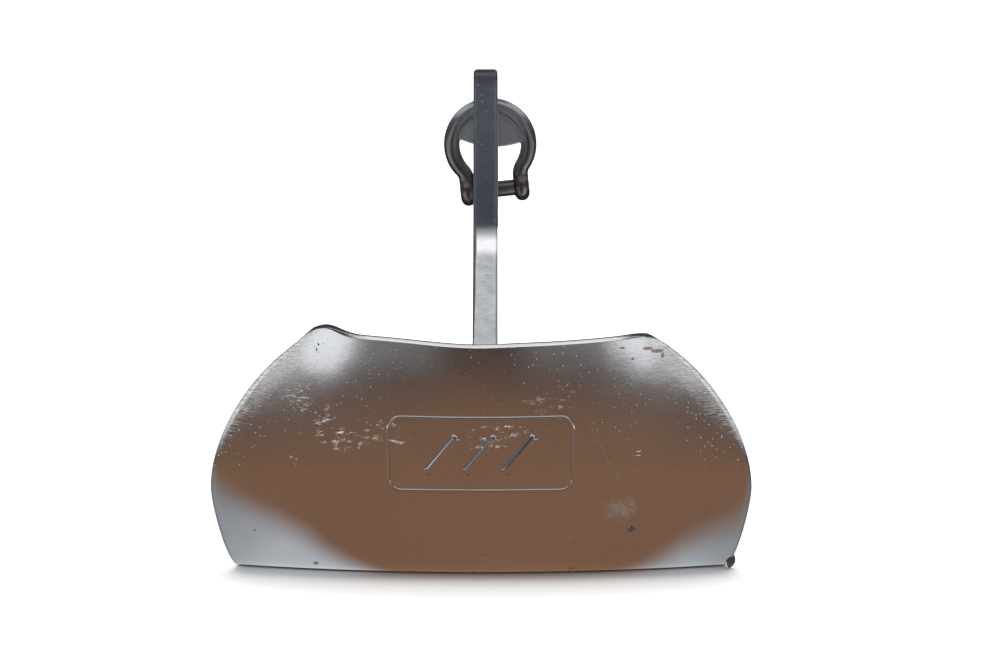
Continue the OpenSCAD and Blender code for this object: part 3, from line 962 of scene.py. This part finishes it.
def make_shackle():
    bm = bmesh.new()
    for verts, faces in (bar_mesh(), eye_mesh(-1), eye_mesh(1), web_mesh()):
        base = [bm.verts.new(v) for v in verts]
        for f in faces:
            bm.faces.new([base[i] for i in f])
    bmesh.ops.remove_doubles(bm, verts=list(bm.verts), dist=1e-5)
    bmesh.ops.recalc_face_normals(bm, faces=list(bm.faces))
    bm.transform(Matrix.Scale(MM, 4))
    ob = from_bmesh("shackle_bow_forged", bm)
    # one forging: the four forms are melted together and softened
    r = ob.modifiers.new("remesh", "REMESH")
    r.mode = "VOXEL"
    r.voxel_size = VOXEL
    r.use_smooth_shade = True
    s = ob.modifiers.new("smooth", "SMOOTH")
    s.factor, s.iterations = 0.5, 16
    apply_all(ob)
    # bore through both eyes
    bpy.ops.mesh.primitive_cylinder_add(vertices=64, radius=(PIN_D / 2 + 0.3) * MM, depth=0.09,
                                        rotation=(0, math.pi / 2, 0))
    cut = bpy.context.active_object
    cut.name = "cutter"
    b = ob.modifiers.new("bore", "BOOLEAN")
    b.operation, b.object, b.solver = "DIFFERENCE", cut, "EXACT"
    apply_all(ob)
    bpy.data.objects.remove(cut)
    for v in ob.data.vertices:
        v.co = place(Vector(v.co) / MM)
    shade_smooth(ob.data)
    sharp_from(ob, 50)
    return ob


shackle = make_shackle()
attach(shackle, "shackle")
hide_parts("shackle_bow")


WEB_GREY_CROWN_HIGHLIGHT = (0.50, 0.52, 0.56)


def steel_material(name, dark, light, rough, web=False):
    """Dark forged steel; with web, the web is lighter and greyer, and the crown's top gets a painted
    highlight.
    """
    n = Nodes(name)
    col = n.ramp(n.noise(55, 4, 0.6), [(0.3, dark), (0.7, light)])
    if web:
        p = n.xyz()
        c = place((0, 0, BOW_H))
        dx, dz = n.sub(p[0], c.x), n.sub(p[2], c.z)
        away = n.math("SQRT", n.add(n.mul(dx, dx), n.mul(dz, dz)))
        inner = n.ramp(away, [(0.0165, 1.0), (0.0230, 0.0)])
        # painted highlight: the top of the crown is lightened towards the grey
        crown = n.mul(n.ramp(dz, [(0.003, 0.0), (0.020, 0.9)]), 0.9)
        col = n.mix(n.most(inner, crown), col, WEB_GREY_CROWN_HIGHLIGHT)
    r = n.ramp(n.noise(90, 5, 0.6), [(0.3, rough * 0.85), (0.75, rough * 1.25)])
    waves = n.bump(n.noise(130, 2, 0.5), 0.12, 0.0005)
    return n.finish(col, r, n.bump(n.noise(420, 5, 0.7), 0.14, 0.00012, waves))


shackle.data.materials.append(
    steel_material("shackle_steel", (0.125, 0.112, 0.106), (0.20, 0.182, 0.172), 0.30, web=True))

PIN_L, SOCKET_R, SOCKET_DEEP = JAW + 2 * EYE_T - 0.8, 2.9, 4.0
PIN_END = ((0, 0.9), (0.3, 0.35), (0.9, 0))   # how far in from the end, how much thinner


def make_pin(seg=64):
    """A plain rod with rounded ends and a hexagon drive socket in the right one."""
    end, r = PIN_L / 2, PIN_D / 2
    turn = [2 * math.pi * k / seg for k in range(seg)]
    bm = bmesh.new()

    def ring(x, radii):
        return [bm.verts.new((x, q * math.cos(a), q * math.sin(a))) for q, a in zip(radii, turn)]

    rings = [ring(deep - end, [r - thin] * seg) for deep, thin in PIN_END]
    rings += [ring(end - deep, [r - thin] * seg) for deep, thin in reversed(PIN_END)]
    sixth = math.pi / 3
    hexagon = [SOCKET_R * math.cos(sixth / 2) / math.cos((a + sixth / 2) % sixth - sixth / 2)
               for a in turn]
    rings.append(ring(end, hexagon))
    rings.append(ring(end - SOCKET_DEEP, [q * 0.97 for q in hexagon]))
    for a, b in zip(rings, rings[1:]):
        for k in range(seg):
            bm.faces.new((a[k], a[(k + 1) % seg], b[(k + 1) % seg], b[k]))
    bm.faces.new(rings[0][::-1])
    bm.faces.new(rings[-1])
    bmesh.ops.recalc_face_normals(bm, faces=list(bm.faces))
    for v in bm.verts:
        v.co = place(v.co)
    ob = from_bmesh("shackle_pin_rod", bm)
    sharp_from(ob, 35)
    return ob


pin = make_pin()
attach(pin, "pin")
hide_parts("shackle_pin")
pin.data.materials.append(steel_material("pin_steel", (0.15, 0.132, 0.124), (0.22, 0.198, 0.187), 0.33))


# ------------------------------------------------------- floor, cards, lights
WHITE = (0.93, 0.93, 0.93)
CARD_Z = 0.0012                        # the cards on the ground lie just above it, m
FLOOR = [(-6.0, 0.0), (2.6, 0.0), (3.0, 0.03), (3.35, 0.14),
         (3.6, 0.34), (3.75, 0.62), (3.8, 1.0), (3.8, 5.0)]
# the far part of the floor lights itself: from and to what y, how little and much
GLOW = ((1, 0.5), (2, 1.8), (3, 0.0), (4, 0.5))


def make_floor():
    """A white floor that sweeps up into a back wall, metres."""
    verts = [Vector((x, y, z)) for y, z in FLOOR for x in (-6.0, 6.0)]
    faces = [(a, a + 1, a + 3, a + 2) for a in range(0, 2 * len(FLOOR) - 2, 2)]
    ob = new_object("studio_floor", verts, faces)
    mat = bpy.data.materials.new("floor_white")
    mat.use_nodes = True
    t = mat.node_tree
    b = t.nodes["Principled BSDF"]
    b.inputs["Base Color"].default_value = (*WHITE, 1)
    b.inputs["Emission Color"].default_value = (*WHITE, 1)
    b.inputs["Roughness"].default_value = 0.9
    b.inputs["Specular IOR Level"].default_value = 0.0
    where = t.nodes.new("ShaderNodeTexCoord")
    sep = t.nodes.new("ShaderNodeSeparateXYZ")
    ramp = t.nodes.new("ShaderNodeMapRange")
    for i, v in GLOW:
        ramp.inputs[i].default_value = v
    t.links.new(where.outputs["Object"], sep.inputs[0])
    t.links.new(sep.outputs[1], ramp.inputs[0])
    t.links.new(ramp.outputs[0], b.inputs["Emission Strength"])
    ob.data.materials.append(mat)


def card(name, verts, faces, color=None):
    """A card that only reflections see, of one colour or of its "tone" attribute."""
    ob = new_object(name, verts, faces, smooth=False)
    m = bpy.data.materials.new(name)
    m.use_nodes = True
    t = m.node_tree
    t.nodes.clear()
    out = t.nodes.new("ShaderNodeOutputMaterial")
    em = t.nodes.new("ShaderNodeEmission")
    if color:
        em.inputs[0].default_value = (*color, 1)
    else:
        an = t.nodes.new("ShaderNodeAttribute")
        an.attribute_type = "GEOMETRY"
        an.attribute_name = "tone"
        t.links.new(an.outputs["Color"], em.inputs[0])
    t.links.new(em.outputs[0], out.inputs[0])
    ob.data.materials.append(m)
    ob.visible_camera = False
    ob.visible_diffuse = False
    ob.visible_shadow = False
    ob.visible_transmission = False
    return ob


def tab(x, xs, ys):
    return float(np.interp(x, xs, ys))


def step(a, b, x):
    return smooth((x - a) / (b - a))


def colour_at(r, radii, rgb):
    return np.array([tab(r, radii, ys) for ys in rgb])


# Colours of the ground by distance from the heel, mm: the brown mat near the
# middle, and the darker floor on both sides.
MAT_R = [0, 200, 280, 340, 400, 460, 700]
MAT = ((0.300, 0.296, 0.268, 0.228, 0.165, 0.100, 0.065),
       (0.161, 0.160, 0.150, 0.134, 0.109, 0.078, 0.055),
       (0.098, 0.098, 0.094, 0.090, 0.086, 0.072, 0.055))
SIDE_R = [380, 420, 460, 500, 560]
SIDE = ((0.185, 0.158, 0.165, 0.225, 0.30), (0.121, 0.118, 0.148, 0.215, 0.30),
        (0.089, 0.104, 0.146, 0.220, 0.31))
# Distance where the pale floor starts, by azimuth from straight ahead, degrees.
PALE_A = [0, 21, 25, 30, 36, 42, 90]
PALE_L, PALE_R = [9000, 9000, 665, 560, 505, 498, 545], [9000, 9000, 640, 530, 505, 498, 545]
PALE, FLOOR_SHADE_TINT = (1.32, 1.35, 1.38), (0.94, 1.0, 1.06)   # the pale floor; the tint of the cool grey painted as the floor in shade
# The y behind which the ground by the belly is cool grey, a painted shadow of the floor in the anchor's
# shade, by distance sideways.
COOL_L = [0, 50, 80, 95, 125, 142, 169, 205, 350], [82, 50, 32, 22, 10, 5, -3, -20, -80]
COOL_R = [0, 50, 77, 90, 107, 125, 148, 168, 205, 350], [100, 65, 53, 45, 35, 29, 26, 18, -6, -70]
COOL_SOFT = [0, 60, 150, 260], [10, 13, 20, 34]
FLOOR_SHADE_TONE = [60, 105, 125, 150, 200], [0.72, 0.70, 0.54, 0.45, 0.38]


def mat_tone(x, y):
    """Colour of the ground in front of the heel, mm."""
    r = math.hypot(x, y)
    a = math.degrees(math.atan2(abs(x), -y)) if y < 0 else 90.0
    left = x < 0
    k = step(370, 430, r) * step(5, 15, a)
    col = colour_at(r, MAT_R, MAT) * (1 - k) + colour_at(r, SIDE_R, SIDE) * k
    edge = tab(a, PALE_A, PALE_L if left else PALE_R)
    k = step(edge - 47, edge + 48, r) * step(19, 33, a)
    col = col * (1 - k) + np.array(PALE) * k
    # painted shadow: the ground by the belly turns cool grey beyond the limit
    lim, soft = tab(abs(x), *(COOL_L if left else COOL_R)), tab(abs(x), *COOL_SOFT)
    t = tab(abs(x), *FLOOR_SHADE_TONE) * (1.0 if left else 0.86)
    k = step(lim - soft, lim + soft, y)
    return col * (1 - k) + np.array(FLOOR_SHADE_TINT) * t * k


def floor_card():
    """The ground that the heel mirrors, as a grid with a tone at every point."""
    outer_x = range(380, 1500, 60)
    xs = sorted(set([*np.linspace(-350, 350, 141), *outer_x, *[-v for v in outer_x]]))
    ys = sorted(set([*np.linspace(-150, 90, 81), *range(-600, -150, 15), *range(-2250, -600, 110)]))
    k = len(xs)
    faces = [(a, a + 1, a + k + 1, a + k) for j in range(len(ys) - 1) for a in range(j * k, j * k + k - 1)]
    ob = card("card_mat", [Vector((x * MM, world_y(y), CARD_Z)) for y in ys for x in xs], faces)
    vals = [c for y in ys for x in xs for c in (*mat_tone(float(x), float(y)), 1.0)]
    ob.data.attributes.new("tone", "FLOAT_COLOR", "POINT").data.foreach_set("color", vals)


# the room in front of, beside, behind and above the anchor is dim
CARDS = {
    "card_front": ((0.125, 0.13, 0.145), [(-1.9, -3.0, 0.50), (1.9, -3.0, 0.50), (1.9, -2.35, 2.55),
                                          (-1.9, -2.35, 2.55)]),
    "card_gap": ((0.07, 0.065, 0.065), [(-1.15, -2.45, 0.0), (1.15, -2.45, 0.0), (1.3, -2.9, 0.52),
                                        (-1.3, -2.9, 0.52)]),
    "card_back": ((0.09, 0.095, 0.105), [(-2.2, 2.35, 0.02), (2.2, 2.35, 0.02), (2.2, 2.2, 2.2),
                                         (-2.2, 2.2, 2.2)]),
    "card_ground": ((0.08, 0.083, 0.09), [(-2.3, 0.13, CARD_Z), (2.3, 0.13, CARD_Z), (2.3, 2.35, CARD_Z),
                                          (-2.3, 2.35, CARD_Z)]),
    "card_left": ((0.15, 0.155, 0.165), [(-2.2, -3.0, 0.10), (-2.3, 2.3, 0.02), (-2.3, 2.3, 1.8),
                                         (-2.2, -3.0, 1.8)]),
    "card_right": ((0.15, 0.155, 0.165), [(2.2, -3.0, 0.10), (2.3, 2.3, 0.02), (2.3, 2.3, 1.8),
                                          (2.2, -3.0, 1.8)]),
    "card_over": ((0.16, 0.165, 0.175), [(-1.3, -0.45, 2.7), (1.3, -0.45, 2.7), (1.3, 2.3, 2.7),
                                         (-1.3, 2.3, 2.7)]),
}

make_floor()
floor_card()
for name, (color, verts) in CARDS.items():
    card(name, [Vector(v) for v in verts], [(0, 1, 2, 3)], color)

LIGHTS = {      # place, width, height, power; all aim at the anchor
    "key_top": ((0.0, -0.3, 2.4), 2.6, 2.2, 40),
    "side_left": ((-2.3, -1.2, 1.1), 1.3, 1.5, 12),
    "side_right": ((2.3, -1.2, 1.1), 1.3, 1.5, 12),
}
AIM = Vector((0, 0, 0.1))
for name, (loc, width, height, power) in LIGHTS.items():
    d = bpy.data.lights.new(name, "AREA")
    d.shape = "RECTANGLE"
    d.size, d.size_y, d.energy = width, height, power
    o = add_object(name, d)
    o.location = loc
    o.rotation_euler = (AIM - Vector(loc)).to_track_quat("-Z", "Y").to_euler()
    o.visible_glossy = False

SKY = 0.75
w = bpy.data.worlds.new("studio")
w.use_nodes = True
w.node_tree.nodes["Background"].inputs[0].default_value = (1, 1, 1, 1)
w.node_tree.nodes["Background"].inputs[1].default_value = SKY
bpy.context.scene.world = w

# --------------------------------------------------------------------- camera
# fitted to the photo: place in metres, yaw and downward pitch in radians
CAMERA, YAW, PITCH, LENS = (0.011, -1.5661545, 0.2610568), -0.00117, 0.0989757, 101.88
cam = bpy.data.cameras.new("camera")
cam.sensor_width = 36.0
cam.lens = LENS
cam.clip_start, cam.clip_end = 0.05, 50.0
co = add_object("camera", cam)
co.location = CAMERA
fwd = Vector((math.sin(YAW) * math.cos(PITCH), math.cos(YAW) * math.cos(PITCH), -math.sin(PITCH)))
co.rotation_euler = fwd.to_track_quat("-Z", "Y").to_euler()
bpy.context.scene.camera = co

bpy.context.scene.view_settings.view_transform = "Standard"
